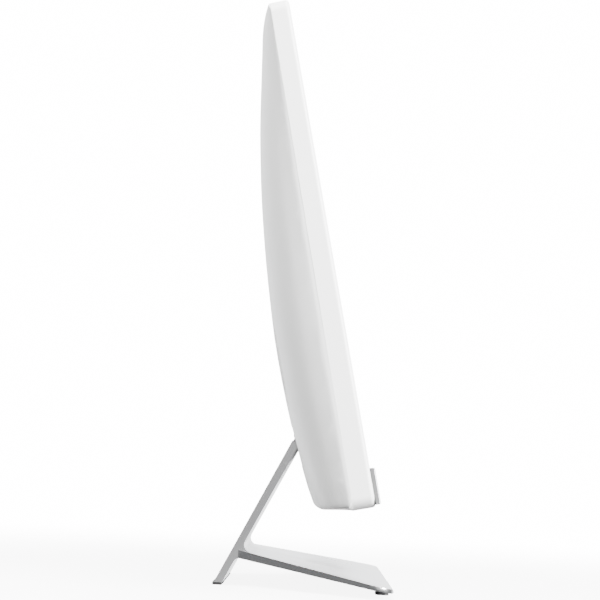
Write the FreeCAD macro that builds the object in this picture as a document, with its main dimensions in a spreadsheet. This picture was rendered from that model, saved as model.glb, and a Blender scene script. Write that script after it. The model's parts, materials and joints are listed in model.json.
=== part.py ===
import FreeCAD, Part
import Sketcher
import math
import os

# All-in-one desktop computer: a flat display body with all the electronics inside,
# carried on a one-piece aluminium stand (neck plate and base plate in a lambda shape).
# World frame: X width, -Y is the front, +Z up, floor at z = 0, origin at the bottom
# centre of the whole object.  The display's pieces are drawn upright in the display's
# own frame (x width, y depth behind the front plane, z height above the lower edge)
# and then leaned back together by the tilt angle.

V = FreeCAD.Vector
Rot = FreeCAD.Rotation
Pl = FreeCAD.Placement

doc = FreeCAD.newDocument("AllInOne")
dims = doc.addObject("Spreadsheet::Sheet", "Dims")
D = {}


def cell(alias, value):
    if alias in D:           # the cell is there already: give it its new value
        n = list(D).index(alias) + 1
        dims.set("B%d" % n, ("%.5f" % value))
        D[alias] = value
        return "Dims." + alias
    n = len(D) + 1
    dims.set("A%d" % n, alias.replace("_", " "))
    dims.set("B%d" % n, ("%.5f" % value))
    dims.setAlias("B%d" % n, alias)
    D[alias] = value
    return "Dims." + alias


# ---- driving dimensions -------------------------------------------------------------
for alias, value in [
        ("half_w", 270.0),          # half of the display's width at the front
        ("half_w_back", 267.0),     # half of its width at the seam with the rear shell
        ("disp_height", 347.16),    # height over which the seam's lean is measured
        ("disp_low", -1.6),         # lower edge of the display, in its own frame
        ("disp_top", 351.0),        # upper edge of the display
        ("seam_low", 15.75),        # depth of the seam at the lower edge
        ("seam_top", 13.2),         # depth of the seam at the upper edge
        ("corner_rad", 8.0),        # corner radius seen from the front
        ("edge_rad", 2.5),          # soft front edge
        ("tilt_deg", 12.24),        # lean of the display from vertical
        ("disp_y", -48.87),         # place of the display's lower front edge
        ("disp_z", 69.68),
        ("seam_gap", 0.08),
        ("wall_shell", 2.4),
        ("act_half_w", 263.6),      # visible screen, 23.8 inch class
        ("act_z_low", 38.4),
        ("act_z_top", 334.9),
        ("inner_half_w", 265.8),
        ("chin_height", 24.0),
        ("chin_proud", 3.4),
        ("hinge_dep", 42.5300),       # hinge axis in the display's frame
        ("hinge_v", 58.5680),
        ("hinge_y", 5.11),          # hinge axis in the world frame
        ("hinge_z", 117.9),
        ("pin_rad", 3.0),
        ("knuckle_rad", 5.3),
        ("run_gap", 0.05),
        ("neck_half_w", 79.0),
        ("base_half_rear", 79.0),
        ("base_half_front", 181.0),
        ("fan_x", -131.0),
        ("fan_z", 112.0)]:
    cell(alias, value)
doc.recompute()

TILT = Pl(V(0, D["disp_y"], D["disp_z"]), Rot(V(1, 0, 0), -D["tilt_deg"]))


def bind(o, prop, value):
    """Bind a property to a cell: text is an expression, a number gets a cell of its own."""
    if not isinstance(value, str):
        alias = (o.Name + "_" + prop.replace(".", "_")).replace("__", "_")
        value = cell(alias, value)
    o.setExpression(prop, value)


def place(o, x, y, z, rot=None):
    o.Placement = Pl(V(x, y, z), rot or Rot())
    for ax, v in (("x", x), ("y", y), ("z", z)):
        if abs(v) > 1e-9:
            bind(o, ".Placement.Base." + ax, float(v))
        else:
            o.setExpression(".Placement.Base." + ax, None)
    return o


def box(name, x0, x1, y0, y1, z0, z1, rot=None):
    o = doc.addObject("Part::Box", name)
    bind(o, "Length", float(x1 - x0))
    bind(o, "Width", float(y1 - y0))
    bind(o, "Height", float(z1 - z0))
    return place(o, x0, y0, z0, rot)


AX = {"x": Rot(V(0, 1, 0), 90), "y": Rot(V(1, 0, 0), -90), "z": Rot()}


def cyl(name, ax, x, y, z, r, h):
    o = doc.addObject("Part::Cylinder", name)
    bind(o, "Radius", r if isinstance(r, str) else float(r))
    bind(o, "Height", float(h))
    return place(o, x, y, z, AX[ax])


def cone(name, ax, x, y, z, r1, r2, h):
    o = doc.addObject("Part::Cone", name)
    bind(o, "Radius1", float(r1))
    bind(o, "Radius2", float(r2))
    bind(o, "Height", float(h))
    return place(o, x, y, z, AX[ax])


def cut(name, a, *tools):
    o = doc.addObject("Part::Cut", name)
    o.Base = a
    if len(tools) == 1:
        o.Tool = tools[0]
    else:
        c = doc.addObject("Part::Compound", name + "_tools")
        c.Links = list(tools)
        o.Tool = c
    return o


def fuse(name, *items):
    o = doc.addObject("Part::MultiFuse", name)
    o.Shapes = list(items)
    return o


def group(name, *items):
    o = doc.addObject("Part::Compound", name)
    o.Links = list(items)
    return o


def common(name, a, b):
    o = doc.addObject("Part::Common", name)
    o.Base = a
    o.Tool = b
    return o


def fillet(name, a, r, pick):
    """Part::Fillet on the edges that pick(edge) accepts."""
    a.recompute(True)
    ids = [i + 1 for i, e in enumerate(a.Shape.Edges) if pick(e)]
    if not ids:
        raise RuntimeError(name + ": no edge to round")
    o = doc.addObject("Part::Fillet", name)
    o.Base = a
    o.Edges = [(i, r, r) for i in ids]
    o.recompute(True)
    if o.Shape.isNull() or not o.Shape.isValid():
        raise RuntimeError(name + ": fillet failed")
    return o


def edir(e, v):
    t = e.tangentAt(e.FirstParameter)
    return abs(abs(t.dot(v)) - 1) < 1e-3


parts = []


def part(o, label, tilted=True):
    o.Label = label
    if tilted:
        if o.TypeId in ("Part::Box", "Part::Cylinder", "Part::Cone"):
            raise RuntimeError("wrap " + label)
        o.Placement = TILT
        o.setExpression(".Placement.Base.y", "Dims.disp_y")
        o.setExpression(".Placement.Base.z", "Dims.disp_z")
    parts.append(o)
    return o


# ---- sketch helpers --------------------------------------------------------------------
def body_plane(body, role):
    return [f for f in body.Origin.OriginFeatures if f.Role == role][0]


def poly_sketch(body, role, name, pts):
    """Closed polygon whose corners are all held by named sheet cells."""
    sk = body.newObject("Sketcher::SketchObject", name)
    sk.AttachmentSupport = [(body_plane(body, role), "")]
    sk.MapMode = "FlatFace"
    n = len(pts)
    for i in range(n):
        a, b = pts[i], pts[(i + 1) % n]
        sk.addGeometry(Part.LineSegment(V(a[0], a[1], 0), V(b[0], b[1], 0)), False)
    for i in range(n):
        sk.addConstraint(Sketcher.Constraint("Coincident", i, 2, (i + 1) % n, 1))
    for i in range(n):
        for k, kind in ((0, "DistanceX"), (1, "DistanceY")):
            c = sk.addConstraint(Sketcher.Constraint(kind, i, 1, pts[i][k]))
            al = "%s_%s%s" % (name, "xy"[k], "abcdefghijklmnopqrstuvwxyz"[i])
            sk.setExpression("Constraints[%d]" % c, cell(al, float(pts[i][k])))
    return sk


def circle_sketch(body, role, name, cx, cy, r):
    sk = body.newObject("Sketcher::SketchObject", name)
    sk.AttachmentSupport = [(body_plane(body, role), "")]
    sk.MapMode = "FlatFace"
    sk.addGeometry(Part.Circle(V(cx, cy, 0), V(0, 0, 1), r), False)
    c = sk.addConstraint(Sketcher.Constraint("Radius", 0, r))
    sk.setExpression("Constraints[%d]" % c, cell(name + "_rad", float(r)))
    for k, kind, v in ((0, "DistanceX", cx), (1, "DistanceY", cy)):
        if abs(v) > 1e-9:
            c = sk.addConstraint(Sketcher.Constraint(kind, 0, 3, v))
            sk.setExpression("Constraints[%d]" % c, cell(name + "_c" + "xy"[k], float(v)))
    return sk


def pad(body, sk, name, length, mid=False, rev=False):
    p = body.newObject("PartDesign::Pad", name)
    p.Profile = sk
    p.Length = length
    p.setExpression("Length", cell(name + "_len", float(length)))
    p.Midplane = mid
    p.Reversed = rev
    body.Tip = p
    return p


# ---- display: front frame ------------------------------------------------------------------
H = D["disp_height"]
SD0, SD1 = D["seam_low"], D["seam_top"]
lean = math.atan2(SD0 - SD1, H)


def crease(z):
    return SD0 + (SD1 - SD0) * z / H


w = doc.addObject("Part::Wedge", "frame_block")
for prop, e in (("Xmin", "-Dims.half_w"), ("Xmax", "Dims.half_w"), ("Ymin", "0"), ("Ymax", "Dims.seam_low"),
                ("Zmin", "Dims.disp_low"), ("Zmax", "Dims.disp_top"), ("X2min", "-Dims.half_w_back"),
                ("X2max", "Dims.half_w_back"), ("Z2min", "Dims.disp_low"), ("Z2max", "Dims.disp_top")):
    w.setExpression(prop, e)
f1 = fillet("frame_corners", w, 8.0, lambda e: abs(e.BoundBox.YLength - SD0) < 0.01)
f2 = fillet("frame_soft_edge", f1, 2.5, lambda e: e.BoundBox.YMax < 0.01)
# the seam plane leans a little, so the frame is deeper at the bottom
back_cut = box("frame_back_cut", -300, 300, 0, 40, -20, 400, None)
place(back_cut, -300, SD0 - D["seam_gap"] + 20 * math.tan(lean), -20, Rot(V(1, 0, 0), math.degrees(lean)))
win = fillet("frame_window_round", box("frame_window", -265.8, 265.8, -1, 20, 25.2, 347.5), 6.0,
             lambda e: edir(e, V(0, 1, 0)) and e.BoundBox.ZMin > 300)
hollow = fillet("frame_hollow_round", box("frame_hollow", -265.6, 265.6, 3.2, 20, 2.4, 348.4), 6.4, lambda e: edir(e, V(0, 1, 0)))
chin_slot = box("frame_chin_slot", -262.3, 262.3, -1, 4, 5.7, 20.3)
slots = []
for sx in (-1, 1):
    for i in range(15):
        x = sx * (112 + i * 5.2)
        slots.append(box("spk_slot_%s%d" % ("l" if sx < 0 else "r", i), x - 0.9, x + 0.9, 5.5, 12.8, -3, 3))
btn_hole = cyl("frame_button_hole", "z", 236, 8.5, -3, 4.1, 6)
ff = cut("frame_cut", f2, back_cut, win, hollow, chin_slot, btn_hole, *slots)
part(ff, "front_frame")

# grey aluminium chin bar, proud of the front, held by a tongue
chin = doc.addObject("PartDesign::Body", "chin_body")
sk = poly_sketch(chin, "YZ_Plane", "chin_sec", [(-3.4, -0.1), (-0.02, -0.1), (-0.02, 6.0), (1.6, 6.0), (1.6, 20.0),
                                               (-0.02, 20.0), (-0.02, 24.6), (-3.4, 24.6)])
pad(chin, sk, "chin_pad", 524.0, mid=True)
sk = poly_sketch(chin, "YZ_Plane", "chin_face", [(-3.4, -0.1), (-0.02, -0.1), (-0.02, 24.6), (-3.4, 24.6)])
p = pad(chin, sk, "chin_face_pad", 537.0, mid=True)
chin.recompute(True)
eds = []
for i, e in enumerate(p.Shape.Edges):
    b = e.BoundBox
    if b.YMax < -3.39:
        eds.append("Edge%d" % (i + 1))
fl = chin.newObject("PartDesign::Fillet", "chin_round")
fl.Base = (p, eds)
fl.Radius = 0.9
fl.setExpression("Radius", cell("chin_round_rad", 0.9))
chin.Tip = fl
part(chin, "chin_bar")

# ---- screen stack --------------------------------------------------------------------------
bz = fillet("bezel_round", box("bezel_plate", -265.5, 265.5, 0.45, 1.65, 25.5, 347.2), 5.8,
            lambda e: edir(e, V(0, 1, 0)) and e.BoundBox.ZMin > 300)
bw = box("bezel_window", -263.6, 263.6, 0, 3, 38.4, 334.9)
cam_hole = cyl("bezel_cam_hole", "y", 0, 0, 339.3, 1.9, 3)
mic1 = cyl("bezel_mic_a", "y", -32, 0, 339.3, 0.5, 3)
mic2 = cyl("bezel_mic_b", "y", 32, 0, 339.3, 0.5, 3)
part(cut("bezel_cut", bz, bw, cam_hole, mic1, mic2), "screen_bezel")
part(group("lcd_group", box("lcd_cell", -265.2, 265.2, 1.75, 3.3, 27.0, 336.4)), "lcd_panel")
part(group("guide_group", box("guide_plate", -263.6, 263.6, 3.4, 7.3, 28.6, 334.8)), "light_guide")
tr = box("tray_block", -265.2, 265.2, 3.4, 8.6, 27.0, 336.4)
trc = box("tray_hollow", -264.0, 264.0, 3.0, 7.4, 28.2, 335.2)
tro = [box("tray_rib_%d" % i, -240 + i * 100, -160 + i * 100, 8.1, 9, 60, 300) for i in range(5)]
part(cut("tray_cut", tr, trc, *tro), "backlight_tray")

# camera at the top of the border
lens = cyl("cam_barrel", "y", 0, 0.9, 339.3, 1.75, 2.2)
lens_c = cone("cam_dish", "y", 0, 0.4, 339.3, 1.35, 0.5, 1.2)
part(cut("cam_cut", lens, lens_c), "camera_lens")
cb = box("cam_board_plate", -36, 36, 3.2, 4.3, 337.2, 343.2)
cbm = box("cam_board_house", -5, 5, 4.3, 6.8, 337.0, 343.4)
part(fuse("cam_board_fuse", cb, cbm), "camera_board")

# ---- chassis plate --------------------------------------------------------------------------
# the six screws that hold the rear shell, kept to its middle
BACK_SCREWS = [(-92, 26), (92, 26), (-80, 176), (168, 176), (-125, 327), (125, 327)]
cp = box("chassis_sheet", -258, 258, 9.3, 10.4, 12, 336)
fl1 = box("chassis_flange_low", -258, 258, 10.4, 14.0, 12, 13.1)
fl2 = box("chassis_flange_top", -258, 258, 10.4, 12.6, 334.9, 336)
fl3 = box("chassis_flange_l", -258, -256.9, 10.4, 12.6, 12, 336)
fl4 = box("chassis_flange_r", 256.9, 258, 10.4, 12.6, 12, 336)
cw = [box("chassis_win_%d" % i, x0, x1, 9, 10.6, z0, z1) for i, (x0, x1, z0, z1) in enumerate(
    [(-228, -170, 34, 78), (170, 228, 34, 70), (-228, -190, 304, 326), (170, 228, 300, 326), (-60, 60, 302, 326)])]
cw += [box("chassis_spk_%d" % i, x - 43, x + 43, 9, 15, 11, 25) for i, x in enumerate((-150, 150))]
cw += [cyl("chassis_hole_%d" % i, "y", x, 9, z, 1.75, 2) for i, (x, z) in enumerate(
    BACK_SCREWS)]
part(cut("chassis_cut", fuse("chassis_fuse", cp, fl1, fl2, fl3, fl4), *cw), "chassis_plate")

# ---- mainboard and what is on it -----------------------------------------------------------------
mb = box("mb_plate", -60, 152, 16.0, 17.6, 122, 292)
mbh = [cyl("mb_hole_%d" % i, "y", x, 15, z, 1.7, 4) for i, (x, z) in enumerate(
    [(-54, 128), (146, 128), (-54, 286), (146, 286), (46, 286), (46, 128)])]
part(cut("mb_cut", mb, *mbh), "mainboard")
so = []
for i, (x, z) in enumerate([(-54, 128), (146, 128), (-54, 286), (146, 286), (46, 286), (46, 128)]):
    so.append(cut("standoff_%d" % i, cyl("so_post_%d" % i, "y", x, 10.4, z, 3.0, 5.6),
                  cyl("so_bore_%d" % i, "y", x, 11.0, z, 1.35, 6)))
part(group("standoff_group", *so), "board_standoffs")
ms = []
for i, (x, z) in enumerate([(-54, 128), (146, 128), (-54, 286), (146, 286), (46, 286), (46, 128)]):
    h = fuse("mbs_%d" % i, cyl("mbs_head_%d" % i, "y", x, 17.6, z, 2.8, 1.6), cyl("mbs_shank_%d" % i, "y", x, 12.0, z, 1.3, 5.6))
    ms.append(cut("mbs_cut_%d" % i, h, box("mbs_rec_a%d" % i, x - 1.5, x + 1.5, 18.5, 20, z - 0.35, z + 0.35),
                  box("mbs_rec_b%d" % i, x - 0.35, x + 0.35, 18.5, 20, z - 1.5, z + 1.5)))
for i, (x, z) in enumerate([(100.5, 82.5), (209.5, 82.5), (155, 113)]):
    h = fuse("pbs_%d" % i, cyl("pbs_head_%d" % i, "y", x, 24.0, z, 2.8, 1.6), cyl("pbs_shank_%d" % i, "y", x, 18.4, z, 1.3, 5.6))
    ms.append(cut("pbs_cut_%d" % i, h, box("pbs_rec_a%d" % i, x - 1.5, x + 1.5, 24.9, 26, z - 0.35, z + 0.35),
                  box("pbs_rec_b%d" % i, x - 0.35, x + 0.35, 24.9, 26, z - 1.5, z + 1.5)))
part(group("mbs_group", *ms), "board_screws")
part(fuse("cpu_fuse", box("cpu_base", -10, 30, 17.6, 18.6, 138, 178), box("cpu_lid", -4, 24, 18.6, 19.4, 144, 172)), "processor")
hp = box("heat_plate_block", -12, 32, 19.4, 21.4, 136, 180)
arms = [box("heat_arm_%d" % i, x0, x1, 19.4, 20.6, z0, z1) for i, (x0, x1, z0, z1) in enumerate(
    [(-24, -12, 130, 138), (32, 44, 130, 138), (-24, -12, 178, 186), (32, 44, 178, 186)])]
part(fuse("heat_plate_fuse", hp, *arms, *[box("heat_link_%d" % i, x0, x1, 19.4, 20.6, z0, z1) for i, (x0, x1, z0, z1) in
     enumerate([(-14, -8, 130, 140), (28, 34, 130, 140), (-14, -8, 176, 186), (28, 34, 176, 186)])]), "heat_plate")
hpf = fillet("heat_pipe_round", box("heat_pipe_bar", -166, 34, 21.4, 24.4, 154, 162), 1.4,
             lambda e: edir(e, V(1, 0, 0)))
part(group("heat_pipe_group", hpf), "heat_pipe")
fins = []
fb = box("fin_block", -166, -98, 20.2, 33.0, 151, 165)
for i in range(22):
    x = -164.6 + i * 3.05
    fins.append(box("fin_gap_%d" % i, x, x + 2.2, 20.9, 32.3, 150, 166))
part(cut("fin_cut", fb, box("fin_pipe_slot", -170, -90, 21.2, 24.6, 153.8, 162.2), *fins), "fin_stack")
dm = []
for k in (0, 1):
    y = 20.2 + k * 4.6
    dm.append(fuse("dimm_%d" % k, box("dimm_pcb_%d" % k, 62.2, 129.8, y, y + 1.0, 204, 233),
                   *[box("dimm_chip_%d_%d" % (k, j), 66 + j * 16, 77 + j * 16, y + 1.0, y + 2.0, 212, 226) for j in range(4)]))
part(group("dimm_group", *dm), "memory_modules")
part(fuse("dimm_socket_fuse", box("dimm_sock_a", 60, 132, 17.6, 22.6, 196, 203.8), box("dimm_sock_b", 60, 132, 17.6, 27.0, 188, 195.8),
          box("dimm_sock_c", 60, 132, 17.6, 27.0, 195.8, 196)), "memory_socket")
part(fuse("ssd_fuse", box("ssd_pcb", 62, 142, 20.0, 20.8, 140, 162), box("ssd_chip_a", 68, 86, 20.8, 22.2, 143, 159),
          box("ssd_chip_b", 92, 106, 20.8, 22.2, 144, 158), box("ssd_chip_c", 112, 130, 20.8, 22.2, 143, 159)), "storage_module")
part(group("ssd_sock_group", box("ssd_socket", 142, 148, 17.6, 22.0, 140, 162)), "storage_socket")
part(fuse("wifi_fuse", box("wifi_pcb", -50, -28, 19.6, 20.4, 232, 262), box("wifi_can", -48, -30, 20.4, 22.2, 238, 258)), "wireless_card")
part(group("coin_group", fillet("coin_round", cyl("coin_disc", "y", 122, 18.6, 268, 10.0, 3.2), 0.4,
                                lambda e: e.BoundBox.YLength < 0.01)), "coin_cell")
dr = fillet("drive_round", box("drive_block", -215, -145, 12.2, 19.2, 190, 290), 1.2, lambda e: edir(e, V(0, 1, 0)))
part(group("drive_group", dr), "disk_drive")
cd = box("caddy_block", -218, -142, 10.5, 17.0, 187, 293)
part(cut("caddy_cut", cd, box("caddy_hollow", -215.4, -144.6, 12.0, 18, 189.6, 290.4),
         box("caddy_win", -205, -155, 10, 13, 205, 275)), "drive_caddy")

# ---- blower ------------------------------------------------------------------------------------
FX, FZ = D["fan_x"], D["fan_z"]
bh = fuse("blower_outer", cyl("blower_round", "y", FX, 20.0, FZ, 36.0, 13.0), box("blower_duct", FX - 35.9, FX + 33, 20.0, 33.0, FZ, 150.7))
bi = fuse("blower_inner", cyl("blower_round_in", "y", FX, 21.2, FZ, 33.6, 10.6), box("blower_duct_in", FX - 33.5, FX + 31, 21.2, 31.8, FZ, 152))
inl = cyl("blower_inlet", "y", FX, 30, FZ, 20.0, 6)
house = cut("blower_house_cut", bh, bi, inl)
post = cyl("blower_post", "y", FX, 20.6, FZ, 1.2, 9.0)
part(fuse("blower_fuse", house, post), "blower_housing")
# impeller: hub, back disc and a ring of curved-back blades
imp = doc.addObject("PartDesign::Body", "impeller_body")
hs = poly_sketch(imp, "XY_Plane", "imp_sec", [(1.25, 22.2), (12.0, 22.2), (28.0, 22.6), (28.0, 23.4), (11.4, 23.4), (10.6, 29.6), (1.25, 29.6)])
rv = imp.newObject("PartDesign::Revolution", "imp_rev")
rv.Profile = hs
rv.ReferenceAxis = (hs, ["V_Axis"])
rv.Angle = 360
imp.Tip = rv
bs = poly_sketch(imp, "XZ_Plane", "imp_blade", [(11.0, -0.5), (19.0, 0.4), (29.5, 4.6), (29.3, 5.4), (18.7, 1.3), (11.0, 0.5)])
bp = imp.newObject("PartDesign::Pad", "imp_blade_pad")
bp.Profile = bs
bp.Length = 29.4
bp.setExpression("Length", cell("imp_blade_high", 29.4))
bp.Reversed = True
imp.Tip = bp
imp.recompute(True)
bpk = poly_sketch(imp, "XZ_Plane", "imp_trim", [(10.0, -6.0), (31.0, -6.0), (31.0, 7.0), (10.0, 7.0)])
pk = imp.newObject("PartDesign::Pocket", "imp_trim_cut")
pk.Profile = bpk
pk.Length = 22.6
pk.setExpression("Length", cell("imp_trim_len", 22.6))
imp.Tip = pk
imp.recompute(True)
v0 = bp.Shape.Volume
if abs(pk.Shape.Volume - v0) < 1 or pk.Shape.BoundBox.YMin < 20:
    pk.Reversed = True
    imp.recompute(True)

# ---- rear input and output ports ------------------------------------------------------------------
PF = 40.5                    # depth of the flat port face
PB = 24.0
IOH = [(100.5, 82.5), (209.5, 82.5), (155, 113)]
iob = box("io_board_plate", 96, 214, 22.4, 24.0, 78, 118)
part(cut("io_board_cut", iob, *[cyl("io_board_hole_%d" % i, "y", x, 20, z, 1.6, 6) for i, (x, z) in enumerate(IOH)]), "port_board")
part(group("io_post_group", *[cut("io_post_%d" % i, cyl("io_post_out_%d" % i, "y", x, 10.4, z, 3.2, 12.0),
                                  cyl("io_post_in_%d" % i, "y", x, 15, z, 1.35, 10))
                              for i, (x, z) in enumerate(IOH)]), "port_board_posts")
USB = [(124.0, 92.6), (124.0, 103.4), (142.0, 92.6), (142.0, 103.4)]
us, ut = [], []
for i, (x, z) in enumerate(USB):
    us.append(cut("usb_can_%d" % i, box("usb_out_%d" % i, x - 6.9, x + 6.9, PB, PF, z - 3.2, z + 3.2),
                  box("usb_in_%d" % i, x - 6.25, x + 6.25, PB + 1.5, PF + 1, z - 2.56, z + 2.56)))
    ut.append(box("usb_tongue_%d" % i, x - 5.6, x + 5.6, PB + 1.5, PF - 1.6, z + 0.0, z + 1.9))
part(group("usb_group", *us), "usb_cans")
part(group("usb_tongue_group", *ut), "usb_tongues")
hx = 160.5
hd = cut("hdmi_can", box("hdmi_out", hx - 7.6, hx + 7.6, PB, PF, 94.9, 101.1), box("hdmi_in", hx - 7.0, hx + 7.0, PB + 1.5, PF + 1, 95.7, 100.3))
part(fuse("hdmi_fuse", hd, box("hdmi_tongue", hx - 5.4, hx + 5.4, PB + 1.4, PF - 1.6, 97.5, 98.5)), "video_port")
ex = 180.0
eb = box("eth_out", ex - 8.0, ex + 8.0, PB, PF, 91.2, 104.8)
ec = box("eth_in", ex - 5.95, ex + 5.95, PF - 11.0, PF + 1, 93.0, 99.8)
ek = box("eth_key", ex - 3.1, ex + 3.1, PF - 11.0, PF + 1, 99.5, 101.6)
part(cut("eth_cut", eb, ec, ek), "network_jack")
ax_ = 106.5
ab = fuse("audio_out", box("audio_block", ax_ - 4.2, ax_ + 4.2, PB, PF - 1.0, 93.8, 102.2), cyl("audio_ring", "y", ax_, PF - 1.2, 98, 3.4, 1.2))
part(cut("audio_cut", ab, cyl("audio_bore", "y", ax_, PF - 14.0, 98, 1.8, 15)), "audio_jack")
dx = 199.0
db = fuse("dc_out", box("dc_block", dx - 5.4, dx + 5.4, PB, PF - 1.0, 92.6, 103.4), cyl("dc_ring", "y", dx, PF - 1.2, 98, 4.6, 1.2))
dj = cut("dc_cut", db, cyl("dc_bore", "y", dx, PF - 11.0, 98, 3.25, 12))
part(fuse("dc_fuse", dj, cyl("dc_pin", "y", dx, PF - 11.5, 98, 0.85, 10.0)), "power_inlet")

# recessed port panel: a tray set in the rear shell
PX0, PX1, PZ0, PZ1 = 97.0, 210.0, 84.0, 112.0
pan = box("panel_block", PX0, PX1, 38.6, 52, PZ0, PZ1)
pin = box("panel_in", PX0 + 1.6, PX1 - 1.6, 40.4, 54, PZ0 + 1.6, PZ1 - 1.6)
wins = [box("pw_usb_%d" % i, x - 7.2, x + 7.2, 38, 42, z - 3.5, z + 3.5) for i, (x, z) in enumerate(USB)]
wins += [box("pw_hdmi", hx - 7.9, hx + 7.9, 38, 42, 94.6, 101.4), box("pw_eth", ex - 8.3, ex + 8.3, 38, 42, 90.9, 105.1),
         cyl("pw_audio", "y", ax_, 38, 98, 3.7, 4), cyl("pw_dc", "y", dx, 38, 98, 4.9, 4)]
aud_rel = box("pw_audio_rel", ax_ - 4.5, ax_ + 4.5, 38, 39.8, 93.5, 102.5)
dc_rel = box("pw_dc_rel", dx - 5.7, dx + 5.7, 38, 39.8, 92.3, 103.7)
panel_raw = cut("panel_cut", pan, pin, *(wins + [aud_rel, dc_rel]))

# ---- speakers ------------------------------------------------------------------------------------
for side, sx in (("left", -1), ("right", 1)):
    x0, x1 = (110, 190) if sx > 0 else (-190, -110)
    sb = box("spk_box_" + side, x0, x1, 4.2, 27.0, 7.0, 22.0)
    sd = cyl("spk_dish_" + side, "z", sx * 150, 10.5, 6.0, 5.2, 2.2)
    rb = fillet("spk_round_" + side, sb, 2.0, lambda e: edir(e, V(0, 0, 1)))
    part(cut("spk_cut_" + side, rb, sd), "speaker_" + side)

# ---- power button under the lower right corner -------------------------------------------------------
pb = doc.addObject("PartDesign::Body", "button_body")
bsk = poly_sketch(pb, "XZ_Plane", "btn_sec", [(0.0, -2.2), (3.3, -2.2), (3.8, -1.7), (3.8, 2.7), (5.2, 2.7), (5.2, 3.5), (1.2, 3.5), (1.2, 4.3), (0.0, 4.3)])
brv = pb.newObject("PartDesign::Revolution", "btn_rev")
brv.Profile = bsk
brv.ReferenceAxis = (bsk, ["V_Axis"])
brv.Angle = 360
pb.Tip = brv
sw = fuse("switch_fuse", box("switch_can", 232.8, 239.2, 5.3, 11.7, 6.6, 9.4), cyl("switch_dot", "z", 236, 8.5, 5.3, 1.1, 1.4))
part(sw, "power_switch")
part(cut("swb_cut", box("swb_plate", 222, 252, 4.0, 13.0, 9.4, 10.6), cyl("swb_hole", "z", 247, 8.5, 9, 1.4, 2)), "switch_board")

# ---- hinge, display side ---------------------------------------------------------------------------
hd_, hv_ = D["hinge_dep"], D["hinge_v"]
HS = [(-77.5, 42.0), (77.5, 42.0), (-14.0, 42.0), (14.0, 42.0), (-14.0, 62.0), (14.0, 62.0)]
tb = box("pocket_block", -83.5, 83.5, 31.0, 52.0, 33.0, 69.5)
ti = box("pocket_in", -81.9, 81.9, 33.0, 54.0, 34.6, 67.9)
pocket_raw = cut("pocket_cut", tb, ti, *[cyl("pocket_hole_%d" % i, "y", x, 30, z, 1.9, 4) for i, (x, z) in enumerate(HS)])
ears = []
for i, x in enumerate((-74.2, -29.6, 26.6, 71.2)):
    e1 = box("ear_web_%d" % i, x, x + 3.0, 35.3, hd_, hv_ - 5.0, hv_ + 5.0)
    e2 = cyl("ear_round_%d" % i, "x", x, hd_, hv_, 5.0, 3.0)
    ears += [e1, e2]
hb = fuse("hinge_bracket_fuse", box("hinge_bracket_plate", -80.5, 80.5, 33.05, 35.4, 37.0, 66.0), *ears)
pin_holes = [cyl("ear_bore_%d" % i, "x", x - 1, hd_, hv_, 3.02, 5) for i, x in enumerate((-74.2, -29.6, 26.6, 71.2))]
hsh = [cyl("hb_hole_%d" % i, "y", x, 32, z, 1.9, 5) for i, (x, z) in enumerate(HS)]
part(cut("hinge_bracket_cut", hb, *(pin_holes + hsh)), "hinge_bracket")
hps = []
for i, (x0, x1) in enumerate(((-75.6, -25.6), (25.6, 75.6))):
    hps.append(cyl("hinge_pin_%d" % i, "x", x0, hd_, hv_, "Dims.pin_rad", x1 - x0))
part(group("hinge_pin_group", *hps), "hinge_pins")
hsp = [cut("hpost_cut_%d" % i, cyl("hpost_%d" % i, "y", x, 10.4, z, 4.2, 20.6), cyl("hpost_bore_%d" % i, "y", x, 16, z, 1.6, 20))
       for i, (x, z) in enumerate(HS)]
part(group("hpost_group", *hsp), "hinge_posts")
hsc = []
for i, (x, z) in enumerate(HS):
    hh_ = fuse("hsc_%d" % i, cyl("hsc_head_%d" % i, "y", x, 35.4, z, 2.9, 1.5), cyl("hsc_shank_%d" % i, "y", x, 20.0, z, 1.5, 15.4))
    hsc.append(cut("hsc_cut_%d" % i, hh_, box("hsc_ra_%d" % i, x - 1.6, x + 1.6, 36.1, 38, z - 0.4, z + 0.4),
                   box("hsc_rb_%d" % i, x - 0.4, x + 0.4, 36.1, 38, z - 1.6, z + 1.6)))
part(group("hsc_group", *hsc), "hinge_screws")

# ---- rear shell: freeform moulded back ---------------------------------------------------------------
VK = [-1.6, 20, 50, 80, 130, 180, 230, 275, 310, 330, 341, 347.16, 351.0]
GK = [24.85, 28.75, 31.75, 34.32, 35.78, 33.8, 29.71, 23.22, 15.93, 11.53, 8.98, 6.38, 3.79]


def pchip(xs, ys):
    n = len(xs)
    h = [xs[i + 1] - xs[i] for i in range(n - 1)]
    d = [(ys[i + 1] - ys[i]) / h[i] for i in range(n - 1)]
    m = [0.0] * n
    m[0], m[-1] = d[0], d[-1]
    for i in range(1, n - 1):
        if d[i - 1] * d[i] > 0:
            w1, w2 = 2 * h[i] + h[i - 1], h[i] + 2 * h[i - 1]
            m[i] = (w1 + w2) / (w1 / d[i - 1] + w2 / d[i])

    def f(x):
        x = min(max(x, xs[0]), xs[-1])
        i = 0
        while i < n - 2 and x > xs[i + 1]:
            i += 1
        q = (x - xs[i]) / h[i]
        return ((1 + 2 * q) * (1 - q) ** 2) * ys[i] + q * (1 - q) ** 2 * h[i] * m[i] + \
            q * q * (3 - 2 * q) * ys[i + 1] + q * q * (q - 1) * h[i] * m[i + 1]
    return f


G = pchip(VK, GK)
HW = D["half_w_back"]


def across(x):
    q = abs(x) / HW
    return 0.814 * (1 - q ** 16) + 0.186 * (1 - q * q)


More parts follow.
